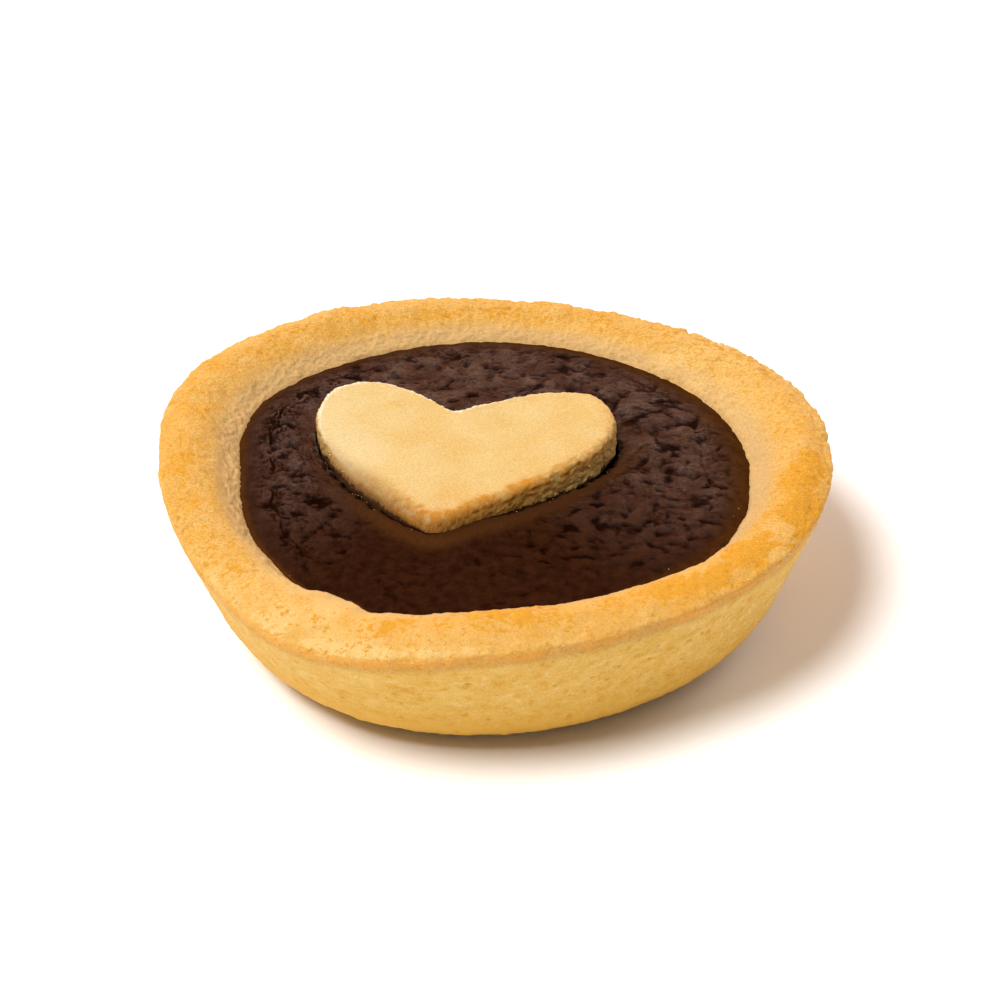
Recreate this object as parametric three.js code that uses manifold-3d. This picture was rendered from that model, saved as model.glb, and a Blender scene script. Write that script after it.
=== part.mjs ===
// A small hand-made chocolate tart: a shortcrust case pressed into a flared mould, a baked chocolate
// filling that rose to a wrinkled skin, and a heart-shaped biscuit that sank a little into it.
// Millimetres, +Z up. The tart stands on z = 0 with its middle on the Z axis; +Y is its back and
// -Y, where the heart points, its front.
import * as THREE from "three";
import { mergeVertices } from "three/addons/utils/BufferGeometryUtils.js";
import Module from "manifold-3d";

const wasm = await Module();
wasm.setup();

const TURN = 2 * Math.PI;

// ---- Driving sizes -------------------------------------------------------------------------

// The case, measured every 30 degrees anticlockwise from +X.
const RIM_RADIUS = [44.5, 46, 44.7, 45.3, 46.2, 47.4, 43.9, 43.7, 46.4, 45, 42.5, 43.5];
const RIM_HEIGHT = [22, 21, 20.5, 20.5, 21.5, 21.5, 22, 21, 20.5, 23, 22.5, 22.5];
const CROWN_RISE = [1.4, 1.2, 1.2, 1.2, 1.3, 1.4, 1.3, 1.2, 2, 1.5, 1, 1]; // crown above the outer edge
const TOP_WIDTH = [6.5, 6.5, 6, 6, 6, 6.5, 6.5, 7.5, 9, 9.5, 8, 7]; // outer edge to inner shoulder
const SIDE_WIDTH = [11, 12.2, 11, 11, 11.5, 11.5, 10.9, 9.7, 10.6, 11, 10.5, 9.7]; // edge to filling
// The foot of the case, every 60 degrees: where the straight wall would meet the table.
const FOOT_RADIUS = [35.5, 33, 33, 34.5, 34, 33];

const CROWN_SHARE = 0.5; // of the top's width, from the outer edge to the crown
const SHOULDER_DROP = 0.6; // crown to inner shoulder
const LIP_BAND = 2.5; // height of the lip that bulged over the mould's edge
const LIP_OVERHANG = 0.8;
const CAVITY_FLOOR = 7; // thickness of the case's bottom
const CAVITY_INSET = 5; // foot radius less the cavity's radius
const CASE_DIRECTIONS = 120;

// The fold, where the dough of the rim was pressed inwards at the front left.
const FOLD_START = 231.5 / 360; // shares of a turn
const FOLD_END = 243 / 360;
const FOLD_EASE = 3 / 360;
const FOLD_REACH = 1.5;

// How far the rounding of each corner reaches along its two sides.
const HEEL_EASE = 8;
const LIP_EASE = 1.5;
const EDGE_EASE = 1;
const CROWN_EASE = 2;
const SHOULDER_EASE = 2.5;
const CONTACT_EASE = 0.5;
const CAVITY_EASE = 6;

// Baked dough is lumpy: broad lumps with finer ones on them, higher on the rim than on the wall.
const RIM_RELIEF = 0.6;
const WALL_RELIEF = 0.3;
const DOUGH_LUMP = 7;
const DOUGH_GRAIN = 3.5;
const DOUGH_GRAIN_SHARE = 0.35;
// The relief points away from a ring inside the rim's section, this far in and down from its edge.
const CORE_INSET = 5;
const CORE_DROP = 6;

// The filling.
const FILLING_LEVEL = 19.7; // where its skin meets the case
const SHOULDER_RISE = 1.0; // its skin rises this much ...
const SHOULDER_WIDTH = 4.5; // ... over this distance from the case
const MIDDLE_RISE = 0.3; // and this much more by the middle
const SHOULDER_POWER = 2.6; // how much steeper the rise starts than it ends
const MOAT_DEPTH = [0.7, 0.5, 0.5, 0.45, 0.1, 0.3]; // the dip round the heart, every 60 degrees
const MOAT_WIDTH = 4.5;
const WRINKLE = 0.45; // height of the lumps and wrinkles of the skin
const SKIN_LUMP = 6;
const SKIN_WRINKLE = 3.6;
const SKIN_WRINKLE_SHARE = 0.4;
const SMOOTH_MARGIN = 1.5; // the skin is smooth this far from the case ...
const SMOOTH_MOAT = 1; // ... and from the heart
const MIDDLE_REACH = 25; // distance from the case at which the middle's full height is reached
const SKIN_RINGS = 15;

// The heart biscuit: its outline seen from above, anticlockwise from its tip, about HEART_PLACE.
const HEART_X = [-3.4, 2.3, 10.5, 17.8, 20.2, 17.4, 10.2, 2.6, -1.4, -5.8, -12.6, -18.2, -19.2, -15, -8.2];
const HEART_Y = [-17, -13.9, -8.3, -1.6, 4.8, 11, 12, 9.8, 8.8, 12.9, 16.7, 13.8, 6, -4.4, -13.2];
const HEART_PLACE = new THREE.Vector2(-4, 2);
const HEART_THICKNESS = 5;
const HEART_TOP = 23.4; // height of its top face at HEART_PLACE
const HEART_TILT_X = 0.05; // rise of its top face for each mm towards +X
const HEART_TILT_Y = 0.03; // and towards +Y
const HEART_EDGE = 1.1; // rounding of its edges
const HEART_EDGE_STEPS = 3;
const HEART_STEPS = 60;

const GAP = 0.3; // clearance between touching pieces
const SAME_POINT = 1e-4; // points closer than this are one
const OTHER_PATTERN = 50; // a shift that makes one relief unlike another

// ---- Curves and relief ---------------------------------------------------------------------

// The value at a share of a turn (0 to 1) of a smooth closed curve through evenly spaced values.
function around(values, share) {
  const count = values.length;
  const at = (share - Math.floor(share)) * count;
  const i = Math.floor(at);
  const t = at - i;
  const [a, b, c, d] = [i - 1, i, i + 1, i + 2].map((k) => values[(k + count) % count]);
  return b + 0.5 * t * (c - a + t * (2 * a - 5 * b + 4 * c - d + t * (3 * (b - c) + d - a)));
}

function smoothstep(low, high, x) {
  const t = THREE.MathUtils.clamp((x - low) / (high - low), 0, 1);
  return t * t * (3 - 2 * t);
}

// A repeatable random value from -1 to 1 for a point of a whole-number grid.
function gridValue(i, j, k) {
  let h = (Math.imul(i, 374761393) + Math.imul(j, 668265263) + Math.imul(k, 1274126177)) | 0;
  h = Math.imul(h ^ (h >>> 13), 1103515245);
  return ((h ^ (h >>> 16)) >>> 0) / 2 ** 31 - 1;
}

// Smooth lumps of the given size, from -1 to 1.
function lumps(x, y, z, size) {
  const place = [x / size, y / size, z / size];
  const cell = place.map(Math.floor);
  const ease = place.map((p, n) => smoothstep(0, 1, p - cell[n]));
  let sum = 0;
  for (const i of [0, 1])
    for (const j of [0, 1])
      for (const k of [0, 1]) {
        const weight = [i, j, k].reduce((w, on, n) => w * (on ? ease[n] : 1 - ease[n]), 1);
        sum += weight * gridValue(cell[0] + i, cell[1] + j, cell[2] + k);
      }
  return sum;
}

// The relief of baked dough: broad lumps with finer ones on them.
function doughRelief(p) {
  const broad = lumps(p.x, p.y, p.z, DOUGH_LUMP);
  const fine = lumps(p.x + OTHER_PATTERN, p.y, p.z, DOUGH_GRAIN);
  return THREE.MathUtils.lerp(broad, fine, DOUGH_GRAIN_SHARE);
}

// The relief of the filling's skin: rounded lumps with creases between them.
function skinRelief(x, y) {
  const broad = 1 - 2 * Math.abs(lumps(x, y, 0, SKIN_LUMP));
  const fine = 1 - 2 * Math.abs(lumps(x + OTHER_PATTERN, y, 0, SKIN_WRINKLE));
  return THREE.MathUtils.lerp(broad, fine, SKIN_WRINKLE_SHARE);
}

// ---- Sections and solids -------------------------------------------------------------------

// A section's path through its corners, each rounded off by its ease. A corner is
// { r, z, ease, bend, run, rough }: bend is the number of steps round it, run the number of steps
// along the straight stretch before it, and rough the relief there.
function easedPath(corners) {
  const path = [{ ...corners[0] }];
  const between = (a, b, t) => ({
    r: THREE.MathUtils.lerp(a.r, b.r, t),
    z: THREE.MathUtils.lerp(a.z, b.z, t),
    rough: THREE.MathUtils.lerp(a.rough, b.rough, t),
  });
  for (let n = 1; n < corners.length; n++) {
    const [before, corner, after] = [corners[n - 1], corners[n], corners[n + 1]];
    const last = path[path.length - 1];
    const shareTo = (other) => {
      const length = Math.hypot(other.r - corner.r, other.z - corner.z);
      return Math.min(corner.ease / length, 0.5);
    };
    const start = after ? between(corner, before, shareTo(before)) : corner;
    for (let i = 1; i < corner.run; i++) path.push(between(last, start, i / corner.run));
    if (!after) {
      path.push({ ...corner });
      break;
    }
    const end = between(corner, after, shareTo(after));
    for (let i = 0; i <= corner.bend; i++) {
      const t = i / corner.bend;
      path.push(between(between(start, corner, t), between(corner, end, t), t));
    }
  }
  return path;
}

// A closed surface from rings of points: ring n is rings[n][direction]. The first and last rings
// shrink to one point each.
function ringSurface(rings) {
  const directions = rings[0].length;
  const position = [rings[0][0], ...rings.slice(1, -1).flat(), rings.at(-1)[0]];
  const ringStart = (n) => 1 + (n - 1) * directions;
  const lastPoint = position.length - 1;
  const index = [];
  for (let d = 0; d < directions; d++) {
    const e = (d + 1) % directions;
    index.push(0, ringStart(1) + e, ringStart(1) + d);
    for (let n = 1; n < rings.length - 2; n++) {
      const [a, b] = [ringStart(n), ringStart(n + 1)];
      index.push(a + d, a + e, b + e, a + d, b + e, b + d);
    }
    const top = ringStart(rings.length - 2);
    index.push(top + d, top + e, lastPoint);
  }
  return new THREE.BufferGeometry().setFromPoints(position).setIndex(index);
}

// The rings of a solid whose section in each direction is a path of { r, z, rough }.
function ringsOf(sectionAt, directions, moved = (point) => point) {
  const sections = Array.from({ length: directions }, (_, d) => easedPath(sectionAt(d / directions)));
  return sections[0].map((_, n) =>
    sections.map((section, d) => {
      const turn = (d / directions) * TURN;
      const { r, z, rough } = section[n];
      const point = new THREE.Vector3(r * Math.cos(turn), r * Math.sin(turn), z);
      return moved(point, { turn, r, rough, share: d / directions });
    }),
  );
}

function toSolid(geometry) {
  const bare = new THREE.BufferGeometry().setAttribute("position", geometry.getAttribute("position"));
  bare.setIndex(geometry.index);
  const merged = mergeVertices(bare, SAME_POINT);
  return new wasm.Manifold(
    new wasm.Mesh({
      numProp: 3,
      vertProperties: merged.getAttribute("position").array,
      triVerts: new Uint32Array(merged.index.array),
    }),
  );
}

function toGeometry(solid) {
  const mesh = solid.getMesh();
  const geometry = new THREE.BufferGeometry();
  geometry.setAttribute("position", new THREE.BufferAttribute(mesh.vertProperties, mesh.numProp));
  geometry.setIndex(new THREE.BufferAttribute(mesh.triVerts, 1));
  geometry.computeVertexNormals();
  return geometry;
}

// ---- The pieces ----------------------------------------------------------------------------

// 1 where the rim is pressed inwards, easing to 0 on both sides.
function fold(share) {
  const start = smoothstep(FOLD_START - FOLD_EASE, FOLD_START + FOLD_EASE, share);
  const end = smoothstep(FOLD_END - FOLD_EASE, FOLD_END + FOLD_EASE, share);
  return start * (1 - end);
}

// The case's section, from the middle of its underside round the rim to the cavity's middle.
function caseSection(share) {
  const edge = around(RIM_RADIUS, share);
  const height = around(RIM_HEIGHT, share);
  const crown = height + around(CROWN_RISE, share);
  const foot = around(FOOT_RADIUS, share);
  const lip = { r: edge - LIP_OVERHANG, z: height - LIP_BAND };
  const topWidth = around(TOP_WIDTH, share);
  const top = { r: edge - CROWN_SHARE * topWidth, z: crown };
  const shoulder = { r: edge - topWidth - FOLD_REACH * fold(share), z: crown - SHOULDER_DROP };
  return [
    { r: 0, z: 0, rough: 0 },
    { r: foot, z: 0, ease: HEEL_EASE, bend: 5, run: 1, rough: 0 },
    { ...lip, ease: LIP_EASE, bend: 2, run: 4, rough: WALL_RELIEF },
    { r: edge, z: height, ease: EDGE_EASE, bend: 3, run: 1, rough: RIM_RELIEF },
    { ...top, ease: CROWN_EASE, bend: 3, run: 1, rough: RIM_RELIEF },
    { ...shoulder, ease: SHOULDER_EASE, bend: 4, run: 1, rough: WALL_RELIEF },
    { r: fillingEdge(share), z: FILLING_LEVEL, ease: CONTACT_EASE, bend: 1, run: 1, rough: 0 },
    { r: foot - CAVITY_INSET, z: CAVITY_FLOOR, ease: CAVITY_EASE, bend: 3, run: 1, rough: 0 },
    { r: 0, z: CAVITY_FLOOR, run: 1, rough: 0 },
  ];
}

// The distance from the axis at which the filling meets the case.
function fillingEdge(share) {
  return around(RIM_RADIUS, share) - around(SIDE_WIDTH, share) - FOLD_REACH * fold(share);
}

// Dough relief pushes the surface out from, or into, the middle of the rim's section.
function roughened(point, { turn, rough, share }) {
  if (rough === 0) return point;
  const coreRadius = around(RIM_RADIUS, share) - CORE_INSET;
  const coreHeight = around(RIM_HEIGHT, share) - CORE_DROP;
  const core = new THREE.Vector3(coreRadius * Math.cos(turn), coreRadius * Math.sin(turn), coreHeight);
  const outwards = point.clone().sub(core).normalize();
  return point.clone().addScaledVector(outwards, rough * doughRelief(point));
}

function makeCase() {
  return ringSurface(ringsOf(caseSection, CASE_DIRECTIONS, roughened));
}

// The heart's outline seen from above, grown outwards by the given amount.
function heartOutline(grown = 0) {
  const points = Array.from({ length: HEART_STEPS }, (_, n) => {
    const share = n / HEART_STEPS;
    return new THREE.Vector2(around(HEART_X, share), around(HEART_Y, share));
  });
  return points.map((point, n) => {
    const before = points[(n + HEART_STEPS - 1) % HEART_STEPS];
    const after = points[(n + 1) % HEART_STEPS];
    const along = after.clone().sub(before).normalize();
    return new THREE.Vector2(point.x + along.y * grown, point.y - along.x * grown);
  });
}

// A slab of the heart's outline with rounded edges, set tilted in the filling.
function heartSlab(grown, thickness, edge) {
  const shape = new THREE.Shape(heartOutline(grown - edge));
  const slab = new THREE.ExtrudeGeometry(shape, {
    depth: thickness - 2 * edge,
    bevelSize: edge,
    bevelThickness: edge,
    bevelSegments: HEART_EDGE_STEPS,
    curveSegments: 1,
  });
  slab.translate(0, 0, edge - thickness);
  const tilt = new THREE.Matrix4().makeShear(0, HEART_TILT_X, 0, HEART_TILT_Y, 0, 0);
  return slab.applyMatrix4(tilt).translate(HEART_PLACE.x, HEART_PLACE.y, HEART_TOP);
}

function makeHeart() {
  return heartSlab(0, HEART_THICKNESS, HEART_EDGE);
}

// Height of the filling's skin above its level at the case.
function skinHeight(x, y, fromCase, outline) {
  const place = new THREE.Vector2(x, y).sub(HEART_PLACE);
  const fromHeart = Math.min(...outline.map((point) => point.distanceTo(place)));
  const belowShoulder = (1 - Math.min(fromCase / SHOULDER_WIDTH, 1)) ** SHOULDER_POWER;
  const shoulder = SHOULDER_RISE * (1 - belowShoulder);
  const middle = MIDDLE_RISE * smoothstep(SHOULDER_WIDTH, MIDDLE_REACH, fromCase);
  const moat = around(MOAT_DEPTH, place.angle() / TURN) * (1 - smoothstep(0, MOAT_WIDTH, fromHeart));
  const awayFromCase = smoothstep(SMOOTH_MARGIN, SHOULDER_WIDTH, fromCase);
  const awayFromHeart = smoothstep(SMOOTH_MOAT, MOAT_WIDTH, fromHeart);
  return shoulder + middle - moat + WRINKLE * awayFromCase * awayFromHeart * skinRelief(x, y);
}

// The filling's section, from the middle of its underside up the case's inside to its own middle.
function fillingSection(share) {
  const edge = fillingEdge(share) - GAP;
  const floor = around(FOOT_RADIUS, share) - CAVITY_INSET - GAP;
  return [
    { r: 0, z: CAVITY_FLOOR + GAP },
    { r: floor, z: CAVITY_FLOOR + GAP, ease: CAVITY_EASE, bend: 3, run: 1 },
    { r: edge, z: FILLING_LEVEL, ease: CONTACT_EASE, bend: 2, run: 1 },
    { r: 0, z: FILLING_LEVEL, run: SKIN_RINGS },
  ];
}

function makeFilling() {
  const outline = heartOutline();
  const raised = (point, { r, share }) => {
    if (point.z < FILLING_LEVEL - SAME_POINT) return point;
    const fromCase = Math.max(fillingEdge(share) - GAP - r, 0);
    point.z += skinHeight(point.x, point.y, fromCase, outline);
    return point;
  };
  const body = toSolid(ringSurface(ringsOf(fillingSection, CASE_DIRECTIONS, raised)));
  const clearance = heartSlab(GAP, HEART_THICKNESS + 2 * GAP, HEART_EDGE + GAP).translate(0, 0, GAP);
  return toGeometry(body.subtract(toSolid(clearance)));
}

function piece(name, geometry, colour, roughness) {
  const material = new THREE.MeshStandardMaterial({ color: colour, roughness, metalness: 0 });
  const mesh = new THREE.Mesh(geometry, material);
  mesh.name = name;
  return mesh;
}

const tart = new THREE.Group();
tart.name = "chocolate_tart";
tart.add(piece("crust", makeCase(), 0xe8b468, 0.8));
tart.add(piece("filling", makeFilling(), 0x3f251b, 0.45));
tart.add(piece("heart_biscuit", makeHeart(), 0xf3d08a, 0.85));

export default tart;
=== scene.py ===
"""The looks of a small hand-made chocolate tart: a baked shortcrust case, its chocolate filling and a
heart-shaped biscuit. Each piece is one dense mesh whose relief is real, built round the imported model.

Sizes are in millimetres up to the moment a mesh is made; Blender's own sizes are in metres.
"""

import itertools
import math

import bmesh
import bpy
import numpy as np
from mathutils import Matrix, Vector


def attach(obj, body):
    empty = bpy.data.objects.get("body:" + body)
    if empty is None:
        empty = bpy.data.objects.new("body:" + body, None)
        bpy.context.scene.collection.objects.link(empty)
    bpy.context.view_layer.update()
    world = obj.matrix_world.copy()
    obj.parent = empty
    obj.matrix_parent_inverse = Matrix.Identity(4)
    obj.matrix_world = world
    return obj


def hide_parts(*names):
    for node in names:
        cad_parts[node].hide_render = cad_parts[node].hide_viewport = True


MM = 0.001
TURN = 2 * math.pi
BAKE_MAP = "OFBake"
MAP_MARGIN = 0.01
MIX_A, MIX_B, MIX_RESULT = 6, 7, 2  # the colour sockets of a Mix node

# ---- The case: measured every 30 degrees anticlockwise from +X
RIM_RADIUS = [44.5, 46, 44.7, 45.3, 46.2, 47.4, 43.9, 43.7, 46.4, 45, 42.5, 43.5]
RIM_HEIGHT = [22, 21, 20.5, 20.5, 21.5, 21.5, 22, 21, 20.5, 23, 22.5, 22.5]
CROWN_RISE = [1.4, 1.2, 1.2, 1.2, 1.3, 1.4, 1.3, 1.2, 2, 1.5, 1, 1]
TOP_WIDTH = [6.5, 6.5, 6, 6, 6, 6.5, 6.5, 7.5, 9, 9.5, 8, 7]
SIDE_WIDTH = [11, 12.2, 11, 11, 11.5, 11.5, 10.9, 9.7, 10.6, 11, 10.5, 9.7]
FOOT_RADIUS = [35.5, 33, 33, 34.5, 34, 33]  # every 60 degrees
CROWN_SHARE = 0.5
SHOULDER_DROP = 0.6
RIDGE_CRAGS = [0.8, 1.4, 1.3, 0.7, 0.7, 0.4, 0.4, 0.9, 1.5, 1.4, 1.0, 0.8]  # how crumbly the ridge is
LIP_BAND = 2.5
LIP_OVERHANG = 0.8
CAVITY_FLOOR = 7
CAVITY_INSET = 5
CASE_DIRECTIONS = 1080
WALL_RADIUS = 40  # for relief that runs round the wall

# The fold, where the dough of the rim is pressed inwards at the front left.
FOLD_START = 231.5  # degrees
FOLD_END = 243.0
FOLD_EASE = 3.0
FOLD_REACH = 1.5

# The toasted belt: how far in from the ridge, how wide, and how toasted, every 30 degrees.
TOAST_INSET = [3.6, 4.2, 3.2, 5.0, 5.0, 3.0, 3.6, 4.0, 4.4, 6.8, 5.2, 3.2]
TOAST_WIDTH = 2.8
TOAST = [0.8, 0.3, 0.45, 0.5, 0.5, 0.5, 0.5, 0.5, 0.3, 1.2, 1.0, 5.0]

# How far each kind of relief on the case stands out or goes in.
CASE_LUMPS = 0.34
RIDGE_CRAG = 0.22
HOLE_DEPTH = 0.22
OPEN_CRUMB_DEPTH = 0.22
CREVICE_DEPTH = 0.25
WALL_DENT = 0.22
WALL_WAVE = 0.02
INNER_CREASE = 0.16

# ---- The filling ---------------------------------------------
FILLING_LEVEL = 19.7
SHOULDER_RISE = 1.0
SHOULDER_WIDTH = 4.5
MIDDLE_RISE = 0.3
MOAT_DEPTH = [0.7, 0.5, 0.5, 0.45, 0.1, 0.3]  # round the heart, every 60 degrees
MOAT_WIDTH = 4.5
HEART_GAP = [0.6, 0.2, 0, 0, 0, 0.2, 0.4, 0.5, 0.3, 0.05, 0.25, 0.45]  # every 30 degrees
SKIN_DIRECTIONS = 882
SKIN_RINGS = 106
CASE_OVERLAP = 0.35  # how far the skin runs into the case, so that its edge can be uneven
CRACK_INSET = 4.2  # the ring of small cracks, in from the case
CRACK_DEPTH = 0.36
TORN_DEPTH = 0.35  # of the skin's torn edge at the heart
CLIMB = 0.25  # of the skin up the heart's side
RAGGED_RISE = 0.22  # of the skin's uneven edge along the case
LUMP_STRETCH = (0.6, 1.0, 1.0)
LUMP_SIZE = 2.1
HIDDEN_GAP = 0.3  # under the heart, and over the bottom of the case
PAINTED_HEART_REFLECTION = [0.6, 0.2, 0, 0.2, 0.9, 0.8]  # how strongly the biscuit's side is painted on the skin next to the heart, as its reflection, every 60 degrees
SKIN_GLOSS = [0.9, 1.0, 1.0, 0.9, 0.0, 0.0]  # how glossy it is, every 60 degrees
MARGIN_WIDTH = [4.8, 4.0, 1.8, 1.4, 0.8, 1.2]  # of the browner skin along the case, every 60 degrees
DIMPLES = [(-22.6, -6.8, 1.2, 0.5), (-2.9, 18.7, 0.6, 0.4)]  # x, y, radius and depth

# ---- The heart: its outline seen from above, anticlockwise from its tip, about HEART_PLACE
HEART_X = [-3.4, 2.3, 10.5, 17.8, 20.2, 17.4, 10.2, 2.6, -1.4, -5.8, -12.6, -18.2, -19.2, -15, -8.2]
HEART_Y = [-17, -13.9, -8.3, -1.6, 4.8, 11, 12, 9.8, 8.8, 12.9, 16.7, 13.8, 6, -4.4, -13.2]
HEART_PLACE = np.array([-4.0, 2.0])
HEART_THICKNESS = 5
HEART_TOP = 23.4
HEART_TILT_X = 0.05
HEART_TILT_Y = 0.03
HEART_CRACK = (-9.6, -11.4, 0.9, 0.35)  # x, y, half its length and half its width
HEART_CRACK_DEPTH = 0.22
PRESSED_CREASE = 0.22
SIDE_PIT = 0.18
HEART_DIRECTIONS = 720

# The heart's edge, every 30 degrees: its rounding, how much painted shade darkens its side towards the foot,
# where it faces left and right at the front, how toasted and pale it is, and how much painted highlight it
# has.
HEART_EDGE = [1.3, 0.9, 0.5, 0.45, 0.45, 0.5, 1.2, 2.2, 2.4, 2.2, 1.5, 1.3]
FOOT_SHADE = [0.05, 0.2, 0.5, 0.8, 0.8, 0.8, 0.9, 1.0, 1.0, 0.9, 0.6, 0.05]
FRONT_LEFT = [0, 0, 0, 0, 0, 0.3, 0.8, 1, 0.4, 0.1, 0, 0]
FRONT_RIGHT = [0.2, 0.05, 0, 0, 0, 0, 0, 0.1, 0.7, 1.0, 0.9, 0.5]
EDGE_TOAST = [0.55, 0.3, 0.1, 0.05, 0.1, 0.1, 0.1, 0.35, 0.7, 0.9, 0.85, 0.7]
EDGE_PALE = [0, 0, 0, 0, 0.3, 0.8, 1.0, 0.3, 0, 0, 0, 0]
PAINTED_EDGE_HIGHLIGHT = [0.1, 0.4, 0.7, 0.9, 1.0, 0.9, 0.1, 0, 0, 0, 0, 0]

CRUMB_SEED = 7

# ---- The light and the materials, whose pairs of colours are the two ends of a mix
KEY_TOWARDS = (-0.44, -0.39, 1.0)  # from the tart to the light
KEY_WIDTH = 24  # degrees
KEY_STRENGTH = 3.6
KEY_COLOUR = (1.0, 0.99, 0.97)
SKY_COLOUR = (0.99, 0.96, 0.92, 1.0)
WALL_COLOUR = (1.0, 0.55, 0.35, 1.0)
FLOOR_WHITE = ((0.92, 0.925, 0.93), (0.94, 0.945, 0.95))
FLOOR_HALF = 3.0  # half its width, in metres
RIM_GOLD = ((0.625, 0.332, 0.061), (0.645, 0.370, 0.095))
WALL_GOLD = ((0.73, 0.430, 0.080), (0.76, 0.480, 0.112))
GLOSSY_SKIN = ((0.0265, 0.0047, 0.0006), (0.0370, 0.0069, 0.0010))
MATT_SKIN = ((0.0195, 0.0054, 0.0020), (0.0335, 0.0103, 0.0042))
BISCUIT_TOP = ((0.60, 0.395, 0.140), (0.62, 0.438, 0.186))
# The side away from the front right, and at the front right, where it is toasted and painted lighter, as
# bounced light.
BISCUIT_SIDE = ((0.60, 0.375, 0.130), (0.70, 0.390, 0.088))
LOOSE_CRUMB = ((0.68, 0.40, 0.13), (0.80, 0.54, 0.23))
DOUGH = {"Subsurface_Weight": 0.2, "Subsurface_Scale": 1.2 * MM}

# ---- The camera ----------------------------------------------
SENSOR = 36.0
FOCAL_PIXELS = 4193.0
IMAGE_PIXELS = 1000.0
PITCH = math.radians(33.1)
CAMERA_DISTANCE = 563.0
CAMERA_TARGET = (0.9, 9.6, 10.0)


# ---- Curves and relief ---------------------------------------
def around(values, share):
    """The value at a share of a turn of a smooth closed curve through evenly spaced values."""
    v = np.asarray(values, float)
    count = len(v)
    at = (np.asarray(share, float) % 1) * count
    i = np.floor(at).astype(int)
    t = at - i
    a, b, c, d = (v[(i + k) % count] for k in (-1, 0, 1, 2))
    return b + 0.5 * t * (c - a + t * (2 * a - 5 * b + 4 * c - d + t * (3 * (b - c) + d - a)))


def smoothstep(low, high, x):
    t = np.clip((x - low) / (high - low), 0, 1)
    return t * t * (3 - 2 * t)


def bell(x, middle, width):
    """1 at the middle, falling smoothly to nothing over a few widths."""
    return np.exp(-(((x - middle) / width) ** 2))


def lattice(cell, salt):
    """A repeatable random 32-bit number for each point (..., 3) of a whole-number lattice."""
    word = np.uint32
    i, j, k = np.moveaxis(cell.astype(word), -1, 0)
    h = i * word(374761393) + j * word(668265263)
    h = h + k * word(1274126177) + word(salt * 40503 + 17)
    h = (h ^ (h >> word(13))) * word(1103515245)
    h = (h ^ (h >> word(15))) * word(2246822519)
    return h ^ (h >> word(16))


def three_shares(h):
    """Three numbers from 0 to 1 out of each random 32-bit number."""
    return np.stack([(h >> shift) & 1023 for shift in (0, 10, 20)], axis=-1) / 1023.0


def noise(points, size, salt=0):
    """Smooth lumps of the given size, from about -1 to 1. Each salt gives another pattern."""
    p = points / size
    cell = np.floor(p).astype(np.int64)
    f = p - cell
    ease = f * f * f * (f * (f * 6 - 15) + 10)
    total = np.zeros(p.shape[:-1])
    for corner in itertools.product((0, 1), repeat=3):
        on = np.array(corner)
        gradient = 2 * three_shares(lattice(cell + on, salt)) - 1
        weight = np.where(on == 1, ease, 1 - ease).prod(axis=-1)
        total += weight * ((f - on) * gradient).sum(axis=-1)
    return 1.8 * total


def layered(form, points, size, octaves, salt, gain):
    """A pattern with finer and finer copies of itself added, each fainter than the last by the gain."""
    gains = [gain**n for n in range(octaves)]
    return sum(g * form(points, size / 2**n, salt + n) for n, g in enumerate(gains)) / sum(gains)


def fractal(points, size, octaves, salt=0, gain=0.5):
    """Lumps with finer and finer lumps on them."""
    return layered(noise, points, size, octaves, salt, gain)


def creases_between(points, size, salt):
    """Rounded lumps with sharp creases between them, from about -1 to 1."""
    return 2 * np.minimum(np.abs(noise(points, size, salt)) * 1.8, 1) - 1


def creased(points, size, octaves, salt=0, gain=0.5):
    """Creased lumps with finer and finer ones on them."""
    return layered(creases_between, points, size, octaves, salt, gain)


def domes(points, size, salt):
    """Round-topped lumps with narrow valleys between them, from -1 in a valley to 1."""
    return 1 - 2 * (1 - np.minimum(np.abs(noise(points, size, salt)) * 2.2, 1)) ** 2


def pits(points, size, radius, salt, share=1.0):
    """Round pits at random places about a size apart: 1 at the middle of a pit and 0 outside it."""
    p = points / size
    cell = np.floor(p).astype(np.int64)
    deepest = np.zeros(p.shape[:-1])
    for step in itertools.product((-1, 0, 1), repeat=3):
        there = cell + np.array(step)
        middle = there + three_shares(lattice(there, salt))
        draws = three_shares(lattice(there, salt + 1))
        reach = radius / size * (0.5 + draws[..., 0])
        far = np.linalg.norm(p - middle, axis=-1) / reach
        depth = (1 - smoothstep(0.2, 1, far)) * (draws[..., 1] < share)
        deepest = np.maximum(deepest, depth)
    return deepest


def raised(flat, z=0.0):
    """Places (..., 2) seen from above as points (..., 3) at a height."""
    return np.concatenate([flat, np.broadcast_to(z, flat.shape[:-1])[..., None]], axis=-1)


# ---- Sections and meshes -------------------------------------
def corner(r, z, ease=0, bend=0, run=1):
    """A corner of a section: its place, the reach of its rounding, and the steps round and before it."""
    return {"at": (r, z), "ease": ease, "bend": bend, "run": run}


def eased_sections(corners, directions):
    """Sections with their corners rounded off, in every direction: (stations, directions, 2)."""
    places = [
        np.stack([np.broadcast_to(np.asarray(x, float), (directions,)) for x in c["at"]], 1) for c in corners
    ]
    path = [places[0]]
    for n in range(1, len(corners)):
        here, bend, run = places[n], corners[n]["bend"], corners[n]["run"]
        ease = np.broadcast_to(corners[n]["ease"], (directions,))[:, None]

        def towards(other):
            length = np.linalg.norm(other - here, axis=1, keepdims=True)
            return here + (other - here) * np.minimum(ease / length, 0.46)

        is_last = n == len(corners) - 1
        start = here if is_last else towards(places[n - 1])
        before = path[-1]
        path += [before + (start - before) * i / run for i in range(1, run)]
        if is_last:
            path.append(here)
            break
        end = towards(places[n + 1])
        for i in range(bend + 1):
            t = i / bend
            path.append((1 - t) ** 2 * start + 2 * t * (1 - t) * here + t * t * end)
    return np.array(path)


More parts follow.
